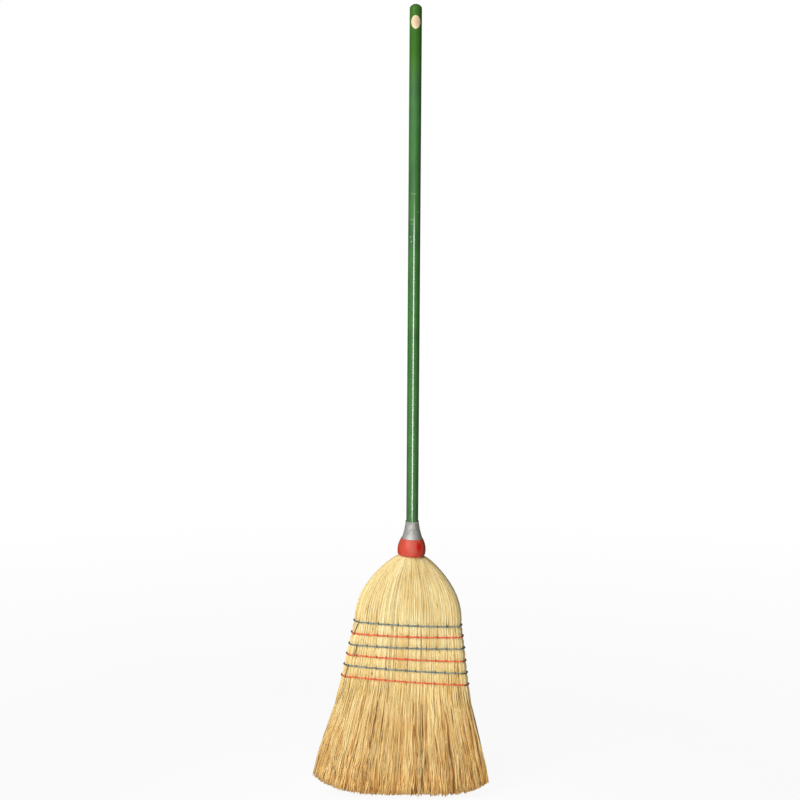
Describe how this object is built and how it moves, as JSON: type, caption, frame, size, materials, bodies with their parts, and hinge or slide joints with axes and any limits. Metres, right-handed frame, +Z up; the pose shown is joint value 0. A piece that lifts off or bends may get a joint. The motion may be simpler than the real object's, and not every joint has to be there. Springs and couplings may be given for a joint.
{
  "type": "sorghum broom",
  "caption": "Flat sewn sorghum broom on a long green wooden stick, with a metal cone and red collar at the neck and rows of coloured twine across the head, for sweeping floors.",
  "frame": {"origin": "middle of the bounding box, on the floor that the sweeping edge stands on", "axes": "+Z up along the handle; +X across the flat head; +Y from the front, which shows the label, to the back"},
  "size_m": [0.3303, 0.0666, 1.4801],
  "materials": {
    "green_lacquered_wood": "gloss lacquer",
    "cream_paper": "matte",
    "galvanised_sheet": "satin",
    "steel_nails": "satin",
    "steel_wire": "satin",
    "red_plastic": "satin",
    "pale_sorghum": "matte straw",
    "golden_sorghum": "matte straw",
    "blue_twine": "matte",
    "red_twine": "matte"
  },
  "bodies": {
    "head": {"handle": "green_lacquered_wood", "handle_label": "cream_paper", "ferrule": "galvanised_sheet", "ferrule_nails": "steel_nails", "collar": "red_plastic", "binding_wire": "steel_wire", "wire_nails": "steel_nails", "core_bundle": "pale_sorghum", "left_shoulder_bundle": "pale_sorghum", "right_shoulder_bundle": "pale_sorghum", "front_cover": "pale_sorghum", "back_cover": "pale_sorghum", "twine_links": "blue_twine", "stitch_row_1": "blue_twine", "stitch_row_2": "red_twine", "stitch_row_3": "blue_twine", "stitch_row_4": "red_twine", "stitch_row_5": "blue_twine", "stitch_row_6": "red_twine"},
    "skirt": {"left_bristles": "golden_sorghum", "right_bristles": "golden_sorghum", "front_bristles": "golden_sorghum", "core_bristles": "golden_sorghum", "back_bristles": "golden_sorghum"}
  },
  "joints": [
    {"name": "skirt_flex", "type": "hinge", "parent": "head", "child": "skirt", "pos_m": [0.0074, 0, 0.20912], "axis": [0.9991, 0, -0.0419], "range_deg": [-20, 20], "stiffness_Nm_per_rad": 6}
  ]
}
